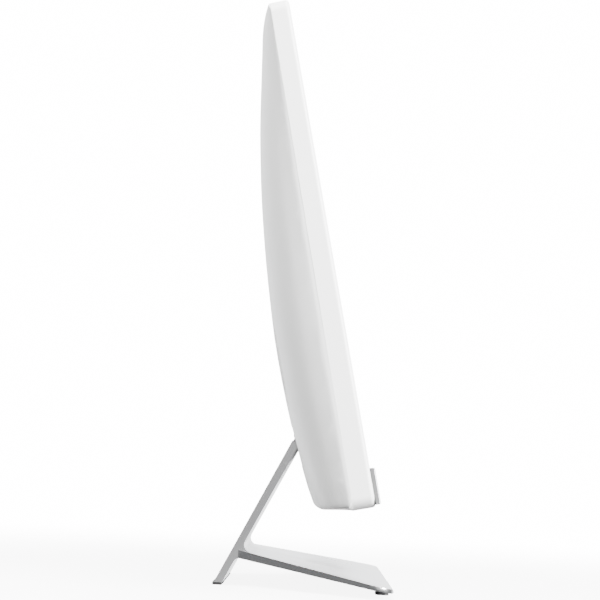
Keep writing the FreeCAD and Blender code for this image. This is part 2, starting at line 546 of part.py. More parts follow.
# underside: nearly flat and rising a little towards the back, then a tight round up into the back
LOW, TOP = D["disp_low"], D["disp_top"]
rows = [(LOW + 0.136 * g, g / G(LOW + 0.136 * g)) for g in (-9.0, -4.0, 0.0, 5.0, 10.0, 14.5, 18.0, 20.3, 21.7)]
rows += [(v, g / G(v)) for g, v in ((22.57, 1.5), (23.54, 1.84), (24.42, 2.38), (25.17, 3.09), (25.76, 3.94), (26.17, 4.89))]
rows += [(v, 1.0) for v in (6.3, 8.6, 12.5, 18, 25, 34, 48, 66, 88, 112, 138, 164, 190, 214, 238, 260, 280, 298, 312, 324, 333, 340, 345)]
rows += [(TOP - 3.2, 1.0), (TOP - 1.7, 0.98), (TOP - 0.7, 0.88), (TOP - 0.1, 0.66), (TOP + 0.3, 0.25), (TOP + 0.6, -0.3)]
us_ = [0, 45, 90, 130, 165, 192, 213, 228, 238, 246, 252.5, 258, 262.5, 267, 270.5]
us_ = [-x for x in us_[:0:-1]] + us_


def skin(scale, off, rws):
    grid = [[V(x * scale, crease(v) + G(v) * fac * across(x) - off, v) for x in us_] for v, fac in rws]
    s = Part.BSplineSurface()
    s.interpolate(grid)
    return s.toShape().extrude(V(0, -60, 0))


def rrect(wd, z0, z1, r, y):
    def arc(cx, cz, a0):
        p = [V(cx + r * math.cos(math.radians(a0 + k * 45)), y, cz + r * math.sin(math.radians(a0 + k * 45))) for k in range(3)]
        return Part.Arc(*p).toShape()
    e = [Part.makeLine(V(-wd + r, y, z0), V(wd - r, y, z0)), arc(wd - r, z0 + r, -90),
         Part.makeLine(V(wd, y, z0 + r), V(wd, y, z1 - r)), arc(wd - r, z1 - r, 0),
         Part.makeLine(V(wd - r, y, z1), V(-wd + r, y, z1)), arc(-wd + r, z1 - r, 90),
         Part.makeLine(V(-wd, y, z1 - r), V(-wd, y, z0 + r)), arc(-wd + r, z0 + r, 180)]
    return Part.Face(Part.Wire(e))


T = D["wall_shell"]
front_side = Part.Face(Part.makePolygon([V(-300, -20, -30), V(-300, crease(-30), -30), V(-300, crease(380), 380),
                                         V(-300, -20, 380), V(-300, -20, -30)])).extrude(V(600, 0, 0))
env = rrect(HW + 0.3, LOW, TOP, D["corner_rad"], -5).extrude(V(0, 90, 0)).cut(front_side)
outer = skin(1.0, 0.0, rows).common(env).Solids[0]
rows_in = [(v + T * min(1.0, max(0.0, (40.0 - v) / 30.0)) - T * max(0.0, v - 330) / (TOP - 330), f) for v, f in rows]
env_in = rrect(HW - T, LOW + T, TOP - T, D["corner_rad"] - T, -5).extrude(V(0, 90, 0))
inner = skin((HW - T) / HW, T, rows_in).common(env_in).Solids[0]
shell = outer.cut(inner)
# screw bosses
SCREWS = [(x, z, round(crease(z) + G(z) * across(x) - 0.6, 2)) for x, z in BACK_SCREWS]
boss = [Part.makeCylinder(4.2, 60, V(x, 14.6, z), V(0, 1, 0)).common(outer) for x, z, d in SCREWS]
shell = shell.fuse(boss)
if shell.ShapeType == "Compound":
    shell = shell.Solids[0]
tools = []
for x, z, d in SCREWS:
    tools.append(Part.makeCylinder(1.7, 60, V(x, 10, z), V(0, 1, 0)))
    tools.append(Part.makeCylinder(3.3, 60, V(x, d - 3.0, z), V(0, 1, 0)))
for i in range(33):          # exhaust slots along the top
    x = -112 + i * 7.0
    s = Part.makeBox(3.0, 60, 22.0, V(x - 1.5, 16, 296))
    tools.append(s)
for i in range(17):          # intake slots over the blower
    x = FX - 48 + i * 6.0
    hh2 = math.sqrt(max(0.0, 51.0 ** 2 - (x - FX) ** 2)) * 0.62
    tools.append(Part.makeBox(3.0, 60, 2 * hh2, V(x - 1.5, 22, FZ - hh2)))
tools.append(Part.makeBox(7.4, 60, 3.4, V(226.0, 20, 70)))     # security lock slot
tools.append(Part.makeBox(PX1 - PX0 + 0.1, 60, PZ1 - PZ0 + 0.1, V(PX0 - 0.05, 30, PZ0 - 0.05)))
tools.append(Part.makeBox(167.1, 60, 36.6, V(-83.55, 30, 32.95)))
shell = shell.cut(tools)
if shell.ShapeType == "Compound":
    sols = sorted(shell.Solids, key=lambda q: -q.Volume)
    if len(sols) > 1 and sols[1].Volume > 5:
        raise RuntimeError("rear shell is in pieces: %s" % [round(q.Volume) for q in sols])
    shell = sols[0]
sh = doc.addObject("Part::Feature", "rear_shell_skin")
sh.Shape = shell
part(sh, "rear_shell")

# the two trays end flush with the shell's outer skin
ov = doc.addObject("Part::Feature", "shell_outer_volume")
ov.Shape = outer
part(common("port_panel_common", panel_raw, ov), "port_panel")
part(common("hinge_pocket_common", pocket_raw, ov), "hinge_pocket")

ss = []
for i, (x, z, d) in enumerate(SCREWS):
    base = fuse("ssc_%d" % i, cyl("ssc_head_%d" % i, "y", x, d - 3.0, z, 3.0, 1.8), cyl("ssc_shank_%d" % i, "y", x, 9.0, z, 1.5, d - 3.0 - 9.0))
    ss.append(cut("ssc_cut_%d" % i, base, box("ssc_ra_%d" % i, x - 1.7, x + 1.7, d - 2.1, d + 1, z - 0.4, z + 0.4),
                  box("ssc_rb_%d" % i, x - 0.4, x + 0.4, d - 2.1, d + 1, z - 1.7, z + 1.7)))
part(group("ssc_group", *ss), "shell_screws")

# flat cable between the mainboard and the panel
part(fuse("flat_cable_fuse", box("flat_a", -100, -60.2, 15.2, 15.6, 240, 262), box("flat_b", -100.6, -100, 11.0, 15.6, 240, 262),
          box("flat_c", -136, -100, 11.0, 11.4, 240, 262)), "panel_cable")

# ---- power button and impeller placed in the display's frame ------------------------------------------
pb.Label = "power_button"
pb.Placement = TILT.multiply(Pl(V(236, 8.5, 0), Rot()))
parts.append(pb)
pp = imp.newObject("PartDesign::PolarPattern", "imp_blades")
pp.Originals = [bp, pk]
pp.Axis = (hs, ["V_Axis"])
pp.Angle = 360
pp.Occurrences = 13
imp.Tip = pp
imp.Label = "blower_impeller"
imp.Placement = TILT.multiply(Pl(V(FX, 0, FZ), Rot()))
parts.append(imp)

# ---- stand -------------------------------------------------------------------------------------------
ang = math.atan(0.505)       # lean of the neck plate
sa, ca = math.sin(ang), math.cos(ang)


def neck_front(z):
    return 61.45 - z * 0.505


def base_top(y):
    return 26.7 + (y - 45.0) * 0.1695


def base_low(y):
    return base_top(y) - 6.15 + (45.0 - y) / 113.8 * 3.1


HY, HZ = D["hinge_y"], D["hinge_z"]
th = 6.4                     # plate thickness measured level
ht = th * ca / 2             # half of the true thickness
top = (HY + 7.0 * sa, HZ - 7.0 * ca)
nf = (top[0] - ht * ca, top[1] - ht * sa)
nb = (top[0] + (ht + 0.5) * ca, top[1] + (ht + 0.5) * sa)


def arc_pts(p, a, b, r, n=6):
    """Concave round of radius r in the corner p between directions a and b."""
    la, lb = math.hypot(*a), math.hypot(*b)
    a, b = (a[0] / la, a[1] / la), (b[0] / lb, b[1] / lb)
    half = math.acos(a[0] * b[0] + a[1] * b[1]) / 2
    dd = r / math.tan(half)
    m = (a[0] + b[0], a[1] + b[1])
    lm = math.hypot(*m)
    c = (p[0] + m[0] / lm * r / math.sin(half), p[1] + m[1] / lm * r / math.sin(half))
    s0 = (p[0] + a[0] * dd - c[0], p[1] + a[1] * dd - c[1])
    s1 = (p[0] + b[0] * dd - c[0], p[1] + b[1] * dd - c[1])
    a0, a1 = math.atan2(s0[1], s0[0]), math.atan2(s1[1], s1[0])
    da = (a1 - a0 + math.pi) % (2 * math.pi) - math.pi
    return [(c[0] + r * math.cos(a0 + da * i / n), c[1] + r * math.sin(a0 + da * i / n)) for i in range(n + 1)]


# corners where the base plate meets the neck's front face
def meet(fn):
    y = 45.0
    for _ in range(60):
        z = fn(y)
        y = neck_front(z)
    return (y, fn(y))


up_c, lo_c = meet(base_top), meet(base_low)
up_dir = (-sa, ca)
dn_dir = (sa, -ca)
bt_dir = (-1.0, -0.1695)
bl_dir = (-1.0, -(0.1695 - 3.1 / 113.8))
arc_u = arc_pts(up_c, up_dir, bt_dir, 6.0)
arc_l = arc_pts(lo_c, bl_dir, dn_dir, 4.5)
neck = doc.addObject("PartDesign::Body", "neck_body")
ptsn = [nf] + arc_u + arc_l + [(neck_front(2.0), 2.0), (neck_front(2.0) + th, 2.0), nb]
sk = poly_sketch(neck, "YZ_Plane", "neck_sec", ptsn)
pad(neck, sk, "neck_pad", 2 * D["neck_half_w"], mid=True)
slab = doc.addObject("PartDesign::Body", "base_slab_body")
FT, FB = base_top(-68.0), base_low(-68.0)
sk = poly_sketch(slab, "YZ_Plane", "slab_sec", [(52.0, base_top(52.0)), (-66.8, base_top(-66.8)), (-67.7, FT - 0.35), (-68.0, FT - 1.0),
                                               (-68.0, FB + 0.9), (-67.6, FB + 0.25), (-66.8, base_low(-66.8)), (51.0, base_low(51.0))])
pad(slab, sk, "slab_pad", 400.0, mid=True)
plan = doc.addObject("PartDesign::Body", "base_plan_body")
sl = (D["base_half_front"] - D["base_half_rear"]) / (49.0 + 68.0)


def halfw(y):
    return D["base_half_rear"] + (49.0 - y) * sl


sk = poly_sketch(plan, "XY_Plane", "plan_sec", [(-halfw(53.0), 53.0), (-halfw(-68.0), -68.0), (halfw(-68.0), -68.0), (halfw(53.0), 53.0)])
pd = pad(plan, sk, "plan_pad", 60.0)
plan.recompute(True)
ve = [("Edge%d" % (i + 1)) for i, e in enumerate(pd.Shape.Edges) if e.BoundBox.ZLength > 59 and e.BoundBox.YMax < -60]
pf = plan.newObject("PartDesign::Fillet", "plan_round")
pf.Base = (pd, ve)
pf.Radius = 10.5
pf.setExpression("Radius", cell("plan_round_rad", 10.5))
plan.Tip = pf
plan.recompute(True)
base = common("base_common", slab, plan)
# keep the base plate in front of the neck's rear face
behind = box("base_trim", -200, 200, 0, 40, -80, 120)
place(behind, -200, neck_front(0) + th - 0.5, 0, Rot(V(1, 0, 0), math.degrees(ang)))
base_t = cut("base_trimmed", base, behind)
kn = []
for i, (x0, x1) in enumerate(((-70.9, -29.9), (29.9, 70.9))):
    kn.append(cyl("knuckle_%d" % i, "x", x0, HY, HZ, "Dims.knuckle_rad", x1 - x0))
    # the web runs down the neck from the axis
    w2 = doc.addObject("Part::Box", "knuckle_web_low_%d" % i)
    bind(w2, "Length", x1 - x0)
    bind(w2, "Width", 2 * ht)
    bind(w2, "Height", 9.0)
    place(w2, x0, HY - ht * ca + 9.0 * sa, HZ - ht * sa - 9.0 * ca, Rot(V(1, 0, 0), math.degrees(ang)))
    kn.append(w2)
kb = cyl("knuckle_bore", "x", -90, HY, HZ, 3.05, 180)
st = cut("stand_cut", fuse("stand_fuse", neck, base_t, *kn), kb)
part(st, "stand_bracket", tilted=False)

fpads = []
for i, x in enumerate((-101.0, 101.0)):
    pbx = fillet("front_pad_round_%d" % i, box("front_pad_box_%d" % i, x - 11, x + 11, -66.8, -56.8, 0, 12), 3.0, lambda e: edir(e, V(0, 0, 1)))
    fpads.append(pbx)
slab2 = doc.addObject("PartDesign::Body", "pad_top_body")
sk = poly_sketch(slab2, "YZ_Plane", "padtop_sec", [(0.0, base_low(0.0)), (-67.0, base_low(-67.0)), (-67.0, 40.0), (0.0, 40.0)])
pad(slab2, sk, "padtop_pad", 260.0, mid=True)
part(cut("front_pads_cut", group("front_pad_group", *fpads), slab2), "front_pads", tilted=False)
rp = fillet("rear_pad_round", box("rear_pad_box", -78.5, 78.5, 60.7, 68.0, 0, 2.0), 1.2,
            lambda e: edir(e, V(0, 0, 1)))
part(group("rear_pad_group", rp), "rear_pad", tilted=False)

# ---- checks and export -------------------------------------------------------------------------------
doc.recompute()
for o in doc.Objects:
    st_ = [q for q in o.State if q in ("Invalid", "Error")]
    if st_:
        raise RuntimeError("%s (%s) is %s" % (o.Name, o.Label, st_))
seen = set()
for o in parts:
    if o.Label in seen:
        raise RuntimeError("label used twice: " + o.Label)
    seen.add(o.Label)
    if o.Shape.isNull() or not o.Shape.isValid() or o.Shape.Volume <= 0:
        raise RuntimeError("bad shape: " + o.Label)
os.makedirs("parts", exist_ok=True)
for o in parts:
    o.Shape.exportStep("parts/%s.step" % o.Label)
bb_ = None
for o in parts:
    b = o.Shape.BoundBox
    bb_ = b if bb_ is None else bb_.united(b)
print("parts", len(parts), "box", [round(q, 2) for q in (bb_.XMin, bb_.XMax, bb_.YMin, bb_.YMax, bb_.ZMin, bb_.ZMax)])
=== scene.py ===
import bpy, bmesh, json, math, random
from mathutils import Matrix, Vector


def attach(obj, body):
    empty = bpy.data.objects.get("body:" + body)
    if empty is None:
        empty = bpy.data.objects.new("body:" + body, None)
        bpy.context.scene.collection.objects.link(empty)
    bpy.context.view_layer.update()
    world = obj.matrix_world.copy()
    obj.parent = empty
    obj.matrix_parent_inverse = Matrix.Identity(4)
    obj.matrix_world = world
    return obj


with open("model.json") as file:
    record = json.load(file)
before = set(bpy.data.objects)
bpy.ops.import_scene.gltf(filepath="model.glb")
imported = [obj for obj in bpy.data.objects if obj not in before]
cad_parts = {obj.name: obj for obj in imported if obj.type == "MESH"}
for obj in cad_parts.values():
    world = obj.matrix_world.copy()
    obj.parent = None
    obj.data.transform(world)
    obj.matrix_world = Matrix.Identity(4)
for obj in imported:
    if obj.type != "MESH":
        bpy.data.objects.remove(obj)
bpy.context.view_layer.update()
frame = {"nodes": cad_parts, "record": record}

NODES = frame["nodes"]
SLOT = {s["node"]: s["material_slot"] for s in frame["record"]["subparts"]}
random.seed(7)

# ------------------------------------------------------------------ display frame
TILT = math.radians(12.24)
ST, CT = math.sin(TILT), math.cos(TILT)
DY, DZ = -48.87, 69.68


def W(x, y, z):
    """Display frame (mm: x width, y depth, z height along the display) to world metres."""
    return Vector((x / 1000, (DY + z * ST + y * CT) / 1000, (DZ + z * CT - y * ST) / 1000))


MD = Matrix.Translation(Vector((0, DY / 1000, DZ / 1000))) @ Matrix.Rotation(-TILT, 4, "X")

# ------------------------------------------------------------------ camera
p, yw, rl = math.radians(5.45), math.radians(-0.62), math.radians(2.6)
F0, R0, U0 = Vector((1, 0, 0)), Vector((0, -1, 0)), Vector((0, 0, 1))
fy = math.cos(yw) * F0 + math.sin(yw) * R0
r0 = -math.sin(yw) * F0 + math.cos(yw) * R0
fwd = math.cos(p) * fy + math.sin(p) * U0
up0 = -math.sin(p) * fy + math.cos(p) * U0
right = math.cos(rl) * r0 + math.sin(rl) * up0
up = -math.sin(rl) * r0 + math.cos(rl) * up0
cam_d = bpy.data.cameras.new("Camera")
cam_d.lens = 1803.1 / 600 * 36
cam_d.sensor_width = 36
cam_d.clip_start = 0.05
cam_d.clip_end = 60
cam = bpy.data.objects.new("Camera", cam_d)
M = Matrix((right, up, -fwd)).transposed().to_4x4()
M.translation = Vector((-1.480, -0.00496, 0.08902))
cam.matrix_world = M
bpy.context.scene.collection.objects.link(cam)
bpy.context.scene.camera = cam

# ------------------------------------------------------------------ light and floor
WORLD_DIM, WORLD_BRIGHT = 0.25, 3.9
world = bpy.data.worlds.new("Studio")
bpy.context.scene.world = world
world.use_nodes = True
wn = world.node_tree.nodes
wl = world.node_tree.links
wn.clear()
wo = wn.new("ShaderNodeOutputWorld")
bg = wn.new("ShaderNodeBackground")
tc = wn.new("ShaderNodeTexCoord")
sep = wn.new("ShaderNodeSeparateXYZ")
dirv = wn.new("ShaderNodeVectorMath")     # the room is bright behind the object, dim on its near and front sides
dirv.operation = "DOT_PRODUCT"
dirv.inputs[1].default_value = (1.0, 0.0, 0.0)
side = wn.new("ShaderNodeMapRange")
side.inputs["From Min"].default_value = 0.3
side.inputs["From Max"].default_value = 0.95
side.inputs["To Min"].default_value = WORLD_DIM
side.inputs["To Max"].default_value = WORLD_BRIGHT
side.interpolation_type = "SMOOTHSTEP"
high = wn.new("ShaderNodeMapRange")
high.inputs["From Min"].default_value = 0.0
high.inputs["From Max"].default_value = 1.0
high.inputs["To Min"].default_value = 0.0
high.inputs["To Max"].default_value = 0.5
add = wn.new("ShaderNodeMath")
add.operation = "ADD"
wl.new(tc.outputs["Generated"], sep.inputs[0])
wl.new(tc.outputs["Generated"], dirv.inputs[0])
wl.new(dirv.outputs["Value"], side.inputs["Value"])
wl.new(sep.outputs["Z"], high.inputs["Value"])
wl.new(side.outputs[0], add.inputs[0])
wl.new(high.outputs[0], add.inputs[1])
wl.new(add.outputs[0], bg.inputs[1])
bg.inputs[0].default_value = (0.98, 0.99, 1.0, 1)
bgc = wn.new("ShaderNodeBackground")
bgc.inputs[0].default_value = (1, 1, 1, 1)
bgc.inputs[1].default_value = 16.0
lp = wn.new("ShaderNodeLightPath")
mx = wn.new("ShaderNodeMixShader")
wl.new(lp.outputs["Is Camera Ray"], mx.inputs[0])
wl.new(bg.outputs[0], mx.inputs[1])
wl.new(bgc.outputs[0], mx.inputs[2])
wl.new(mx.outputs[0], wo.inputs[0])


def area(name, loc, target, size, power, size_y=None, color=(1, 1, 1)):
    d = bpy.data.lights.new(name, "AREA")
    d.energy = power
    d.color = color
    d.size = size
    if size_y:
        d.shape = "RECTANGLE"
        d.size_y = size_y
    o = bpy.data.objects.new(name, d)
    o.location = loc
    o.rotation_euler = (Vector(target) - Vector(loc)).to_track_quat("-Z", "Y").to_euler()
    bpy.context.scene.collection.objects.link(o)
    return o


area("KeyFront", (-1.95, -1.68, 1.08), (0, 0, 0.22), 1.2, 500)
area("NearCard", (-3.2, 0.0, 0.45), (0, 0, 0.2), 2.2, 8)
area("KeyTop", (-1.35, 0.15, 2.55), (0, 0, 0.22), 1.4, 175)
area("BackHigh", (-1.2, 1.5, 2.1), (0, 0, 0.22), 1.4, 120)
area("TopSoft", (0.5, 0.1, 2.7), (0, 0, 0.2), 2.2, 60)


def new_mat(name):
    m = bpy.data.materials.new(name)
    m.use_nodes = True
    nt = m.node_tree
    return m, nt, nt.nodes["Principled BSDF"]


fm, fnt, fb = new_mat("floor_paper")
fb.inputs["Roughness"].default_value = 0.9
fb.inputs["Specular IOR Level"].default_value = 0.1
fb.inputs["Base Color"].default_value = (0.9, 0.9, 0.9, 1)
# the paper fades out into the white of the room, so no horizon line shows
ftc = fnt.nodes.new("ShaderNodeTexCoord")
fl_ = fnt.nodes.new("ShaderNodeVectorMath")
fl_.operation = "LENGTH"
fr_ = fnt.nodes.new("ShaderNodeMapRange")
fr_.interpolation_type = "SMOOTHSTEP"
fr_.inputs["From Min"].default_value = 0.22
fr_.inputs["From Max"].default_value = 1.25
fr_.inputs["To Min"].default_value = 0.42
fr_.inputs["To Max"].default_value = 1.0
ftr = fnt.nodes.new("ShaderNodeBsdfTransparent")
fms = fnt.nodes.new("ShaderNodeMixShader")
fno = fnt.nodes.new("ShaderNodeTexNoise")
fno.inputs["Scale"].default_value = 40
frr = fnt.nodes.new("ShaderNodeMapRange")
frr.inputs["To Min"].default_value = 0.82
frr.inputs["To Max"].default_value = 0.95
fnt.links.new(ftc.outputs["Object"], fno.inputs["Vector"])
fnt.links.new(fno.outputs["Fac"], frr.inputs["Value"])
fnt.links.new(frr.outputs[0], fb.inputs["Roughness"])
fnt.links.new(ftc.outputs["Object"], fl_.inputs[0])
fnt.links.new(fl_.outputs["Value"], fr_.inputs["Value"])
fnt.links.new(fr_.outputs[0], fms.inputs[0])
fnt.links.new(fb.outputs[0], fms.inputs[1])
fnt.links.new(ftr.outputs[0], fms.inputs[2])
fnt.links.new(fms.outputs[0], fnt.nodes["Material Output"].inputs["Surface"])
bm = bmesh.new()
bmesh.ops.create_circle(bm, cap_ends=True, segments=96, radius=9.0)
me = bpy.data.meshes.new("floor")
bm.to_mesh(me)
bm.free()
floor = bpy.data.objects.new("floor", me)
floor.location = (0, 0, 0)
me.materials.append(fm)
bpy.context.scene.collection.objects.link(floor)
floor.visible_glossy = False      # the metal mirrors the dim room, not the paper
floor.visible_diffuse = False


# ------------------------------------------------------------------ procedural materials
def noise(nt, scale, detail=3, rough=0.5, vec=None, mapping=None):
    n = nt.nodes.new("ShaderNodeTexNoise")
    n.inputs["Scale"].default_value = scale
    n.inputs["Detail"].default_value = detail
    n.inputs["Roughness"].default_value = rough
    if mapping is not None:
        mp = nt.nodes.new("ShaderNodeMapping")
        mp.inputs["Scale"].default_value = mapping
        nt.links.new(vec, mp.inputs["Vector"])
        vec = mp.outputs[0]
    nt.links.new(vec, n.inputs["Vector"])
    return n


def coords(nt):
    t = nt.nodes.new("ShaderNodeTexCoord")
    return t.outputs["Object"]


def ramp2(nt, fac, a, b, lo=0.3, hi=0.7):
    r = nt.nodes.new("ShaderNodeValToRGB")
    r.color_ramp.elements[0].position = lo
    r.color_ramp.elements[1].position = hi
    r.color_ramp.elements[0].color = (*a, 1) if len(a) == 3 else a
    r.color_ramp.elements[1].color = (*b, 1) if len(b) == 3 else b
    nt.links.new(fac, r.inputs[0])
    return r.outputs[0]


def rough_var(nt, bsdf, fac, lo, hi):
    mr = nt.nodes.new("ShaderNodeMapRange")
    mr.inputs["From Min"].default_value = 0.25
    mr.inputs["From Max"].default_value = 0.75
    mr.inputs["To Min"].default_value = lo
    mr.inputs["To Max"].default_value = hi
    nt.links.new(fac, mr.inputs["Value"])
    nt.links.new(mr.outputs[0], bsdf.inputs["Roughness"])


def bump(nt, bsdf, height, strength, dist, prev=None):
    b = nt.nodes.new("ShaderNodeBump")
    b.inputs["Strength"].default_value = strength
    b.inputs["Distance"].default_value = dist
    nt.links.new(height, b.inputs["Height"])
    if prev:
        nt.links.new(prev, b.inputs["Normal"])
    nt.links.new(b.outputs[0], bsdf.inputs["Normal"])
    return b.outputs[0]


def plastic(name, col, var=0.02, r0_=0.38, r1_=0.5, grain=1600, gs=0.12, gd=0.00006, spec=0.5, coat=0.0):
    """Moulded plastic: faint cloudy colour, fine spark-eroded texture, rubbed patches."""
    m, nt, b = new_mat(name)
    c = coords(nt)
    big = noise(nt, 9, 3, 0.55, c)
    lo = tuple(max(0, q * (1 - var)) for q in col)
    hi = tuple(min(1, q * (1 + var)) for q in col)
    nt.links.new(ramp2(nt, big.outputs["Fac"], lo, hi), b.inputs["Base Color"])
    mid = noise(nt, 60, 4, 0.6, c)
    rough_var(nt, b, mid.outputs["Fac"], r0_, r1_)
    fine = noise(nt, grain, 2, 0.5, c)
    bump(nt, b, fine.outputs["Fac"], gs, gd)
    b.inputs["Specular IOR Level"].default_value = spec
    if coat:
        b.inputs["Coat Weight"].default_value = coat
        b.inputs["Coat Roughness"].default_value = 0.15
    return m


def metal(name, col, r0_=0.25, r1_=0.4, scale=(8, 900, 900), grain=1.0, gs=0.15, gd=0.00003, aniso=0.0, var=0.06):
    """Metal with drawn or brushed lines along one axis."""
    m, nt, b = new_mat(name)
    c = coords(nt)
    n = noise(nt, grain, 4, 0.65, c, scale)
    lo = tuple(q * (1 - var) for q in col)
    hi = tuple(min(1, q * (1 + var)) for q in col)
    nt.links.new(ramp2(nt, n.outputs["Fac"], lo, hi), b.inputs["Base Color"])
    big = noise(nt, 14, 3, 0.5, c)
    rough_var(nt, b, big.outputs["Fac"], r0_, r1_)
    bump(nt, b, n.outputs["Fac"], gs, gd)
    b.inputs["Metallic"].default_value = 1.0
    b.inputs["Anisotropic"].default_value = aniso
    return m


MAT = {}
MAT["white_plastic"] = plastic("white_satin_plastic", (0.80, 0.80, 0.795), 0.012, 0.36, 0.46)
MAT["bar_metal"] = metal("bar_blasted_metal", (0.40, 0.405, 0.41), 0.32, 0.42, (900, 900, 900), 1.0, 0.18, 0.00004)
MAT["stand_metal"] = metal("stand_brushed_metal", (0.66, 0.662, 0.668), 0.2, 0.29, (5, 1100, 1100), 1.0, 0.12, 0.00002, 0.3, 0.04)
MAT["black_plastic"] = plastic("black_textured_plastic", (0.018, 0.018, 0.019), 0.2, 0.45, 0.6, 1300, 0.25, 0.0001)
MAT["screen"] = plastic("screen_film", (0.006, 0.0065, 0.008), 0.1, 0.16, 0.2, 3000, 0.04, 0.00002)
MAT["light_guide"] = plastic("light_guide_sheet", (0.85, 0.87, 0.88), 0.01, 0.2, 0.25)
MAT["sheet_steel"] = metal("zinc_sheet", (0.55, 0.56, 0.57), 0.3, 0.45, (60, 60, 60), 1.0, 0.1, 0.00003)
MAT["turned_steel"] = metal("dark_plated_steel", (0.26, 0.26, 0.27), 0.3, 0.42, (500, 500, 500), 1.0, 0.12, 0.00003)
MAT["chip_black"] = plastic("chip_epoxy", (0.025, 0.025, 0.028), 0.1, 0.5, 0.62)
MAT["copper"] = metal("drawn_copper", (0.72, 0.36, 0.2), 0.25, 0.38, (10, 500, 500))
MAT["fin_metal"] = metal("fin_sheet", (0.74, 0.75, 0.76), 0.25, 0.35, (900, 20, 20))
MAT["lens_glass"] = plastic("lens_coated", (0.004, 0.004, 0.01), 0.1, 0.05, 0.08, coat=0.8)
MAT["flat_cable"] = plastic("film_cable", (0.62, 0.64, 0.66), 0.05, 0.3, 0.4)
MAT["button_plastic"] = plastic("button_satin", (0.62, 0.62, 0.63), 0.01, 0.3, 0.4)
MAT["rubber"] = plastic("soft_rubber", (0.02, 0.02, 0.021), 0.25, 0.62, 0.8, 700, 0.35, 0.00012, 0.3)


def pcb(name):
    m, nt, b = new_mat(name)
    c = coords(nt)
    v = nt.nodes.new("ShaderNodeTexVoronoi")
    v.feature = "DISTANCE_TO_EDGE"
    v.distance = "MANHATTAN" if hasattr(v, "distance") else v.distance
    v.inputs["Scale"].default_value = 220
    nt.links.new(c, v.inputs["Vector"])
    nt.links.new(ramp2(nt, v.outputs["Distance"], (0.02, 0.14, 0.06), (0.008, 0.07, 0.035), 0.02, 0.06), b.inputs["Base Color"])
    n = noise(nt, 90, 3, 0.5, c)
    rough_var(nt, b, n.outputs["Fac"], 0.25, 0.4)
    bump(nt, b, v.outputs["Distance"], 0.2, 0.00004)
    return m


MAT["circuit_board"] = pcb("solder_mask")

for name, o in NODES.items():
    m = MAT[SLOT[name]]
    o.data.materials.clear()
    o.data.materials.append(m)
    for poly in o.data.polygons:
        poly.material_index = 0

# ------------------------------------------------------------------ small parts made as meshes
def newbm():
    return bmesh.new()


def rbox(b, x0, x1, y0, y1, z0, z1, r=0.1, seg=2):
    """Box with rounded edges, in the display's frame (mm)."""
    t = bmesh.new()
    bmesh.ops.create_cube(t, size=1.0)
    for v in t.verts:
        v.co = Vector(((x0 + x1) / 2 + v.co.x * (x1 - x0), (y0 + y1) / 2 + v.co.y * (y1 - y0), (z0 + z1) / 2 + v.co.z * (z1 - z0)))
    bmesh.ops.bevel(t, geom=list(t.edges), offset=min(r, 0.45 * min(x1 - x0, y1 - y0, z1 - z0)), segments=seg, affect="EDGES", profile=0.6)
    me_ = bpy.data.meshes.new("t")
    t.to_mesh(me_)
    t.free()
    b.from_mesh(me_)
    bpy.data.meshes.remove(me_)


def lathe(b, cx, cy, cz, axis, prof, seg=40):
    """Closed ring: prof is (radius, along) pairs turned about axis 'x', 'y' or 'z'."""
    rings = []
    for k in range(seg):
        a = 2 * math.pi * k / seg
        row = []
        for r, q in prof:
            u, w_ = r * math.cos(a), r * math.sin(a)
            p_ = {"y": (cx + u, cy + q, cz + w_), "x": (cx + q, cy + u, cz + w_), "z": (cx + u, cy + w_, cz + q)}[axis]
            row.append(b.verts.new(p_))
        rings.append(row)
    n = len(prof)
    for k in range(seg):
        a_, b_ = rings[k], rings[(k + 1) % seg]
        for i in range(n):
            j = (i + 1) % n
            b.faces.new((a_[i], a_[j], b_[j], b_[i]))


def ribbon(b, pts, wv, tv):
    """Closed strip of rectangular section along pts; wv, tv are the half width and half thickness vectors."""
    rows = []
    for q in pts:
        q = Vector(q)
        rows.append([b.verts.new(q + wv + tv), b.verts.new(q - wv + tv), b.verts.new(q - wv - tv), b.verts.new(q + wv - tv)])
    for a_, c_ in zip(rows[:-1], rows[1:]):
        for i in range(4):
            j = (i + 1) % 4
            b.faces.new((a_[i], a_[j], c_[j], c_[i]))
    b.faces.new(rows[0][::-1])
    b.faces.new(rows[-1])


def piece(name, b, mat, body="display", tilted=True, smooth=35):
    for v in b.verts:
        v.co = W(*v.co) if tilted else v.co / 1000
    bmesh.ops.recalc_face_normals(b, faces=list(b.faces))
    lim = math.radians(smooth)
    for f in b.faces:
        f.smooth = True
    for e in b.edges:
        e.smooth = len(e.link_faces) == 2 and e.calc_face_angle(0.0) < lim
    me_ = bpy.data.meshes.new(name)
    b.to_mesh(me_)
    b.free()
    me_.materials.append(mat)
    o = bpy.data.objects.new(name, me_)
    bpy.context.scene.collection.objects.link(o)
    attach(o, body)
    return o


# rear shell's outer surface, so that what lies behind its slots follows it
VK = [-1.6, 20, 50, 80, 130, 180, 230, 275, 310, 330, 341, 347.16, 351.0]
GK = [24.85, 28.75, 31.75, 34.32, 35.78, 33.8, 29.71, 23.22, 15.93, 11.53, 8.98, 6.38, 3.79]


def shell_depth(x, z):
    i = max(k for k in range(len(VK) - 1) if VK[k] <= z)
    q = (z - VK[i]) / (VK[i + 1] - VK[i])
    g = GK[i] + q * (GK[i + 1] - GK[i])
    u = abs(x) / 267.0
    return 15.75 - 2.55 * z / 347.16 + g * (0.814 * (1 - u ** 16) + 0.186 * (1 - u * u))


